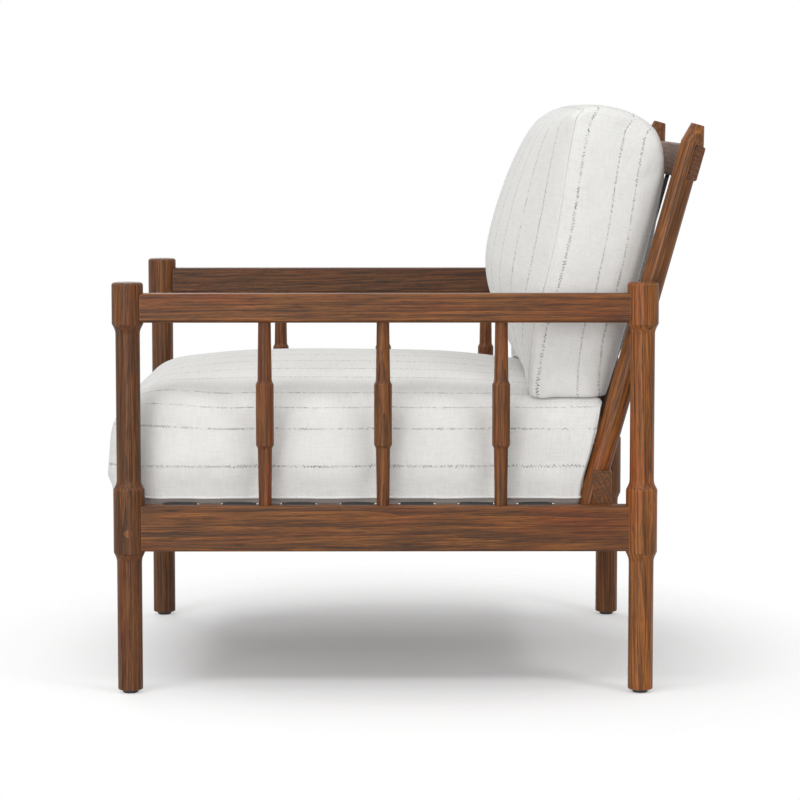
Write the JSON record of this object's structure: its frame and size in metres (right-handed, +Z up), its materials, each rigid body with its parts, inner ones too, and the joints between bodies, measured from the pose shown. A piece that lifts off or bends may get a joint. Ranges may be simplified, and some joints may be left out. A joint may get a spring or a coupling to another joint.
{
  "type": "lounge chair",
  "caption": "Teak lounge chair with turned posts, spindle arms, a leaning webbed back, and loose striped seat and back cushions.",
  "frame": {"origin": "on the floor, under the middle of the chair's overall box", "axes": "+Z up, -Y the way a sitter faces, +X to the sitter's left"},
  "size_m": [0.7466, 0.8968, 0.8729],
  "materials": {
    "teak": "satin",
    "cushion_cloth": "matte",
    "cushion_fill": "matte",
    "webbing": "matte",
    "glide_plastic": "matte",
    "steel": "satin"
  },
  "bodies": {
    "frame": {"arm_rail_left": "teak", "arm_rail_right": "teak", "back_stile_left": "teak", "back_stile_right": "teak", "back_strap_1": "webbing", "back_strap_2": "webbing", "back_strap_3": "webbing", "back_strap_4": "webbing", "back_strap_5": "webbing", "back_strap_6": "webbing", "foot_glide_front_left": "glide_plastic", "foot_glide_front_right": "glide_plastic", "foot_glide_rear_left": "glide_plastic", "foot_glide_rear_right": "glide_plastic", "front_post_left": "teak", "front_post_plugs": "teak", "front_post_right": "teak", "front_rail": "teak", "front_rail_bolts": "steel", "front_rail_nuts": "steel", "rear_post_left": "teak", "rear_post_right": "teak", "rear_rail": "teak", "screw_plugs": "teak", "seat_strap_1": "webbing", "seat_strap_2": "webbing", "seat_strap_3": "webbing", "seat_strap_4": "webbing", "seat_strap_5": "webbing", "seat_strap_6": "webbing", "seat_strap_7": "webbing", "side_rail_left": "teak", "side_rail_right": "teak", "spindle_left_front": "teak", "spindle_left_middle": "teak", "spindle_left_rear": "teak", "spindle_right_front": "teak", "spindle_right_middle": "teak", "spindle_right_rear": "teak", "stile_foot_screws": "steel", "stile_post_screws": "steel", "top_rail": "teak", "top_rail_screws": "steel"},
    "seat_cushion": {"seat_cushion_cover": "cushion_cloth", "seat_cushion_core": "cushion_fill"},
    "back_cushion": {"back_cushion_cover": "cushion_cloth", "back_cushion_core": "cushion_fill"}
  },
  "joints": [
    {"name": "seat_cushion_slide", "type": "slide", "parent": "frame", "child": "seat_cushion", "axis": [0, -1, 0], "range_m": [0, 0.76]},
    {"name": "back_cushion_lift", "type": "slide", "parent": "frame", "child": "back_cushion", "axis": [0, 0.2689, 0.9632], "range_m": [0, 0.46]}
  ]
}
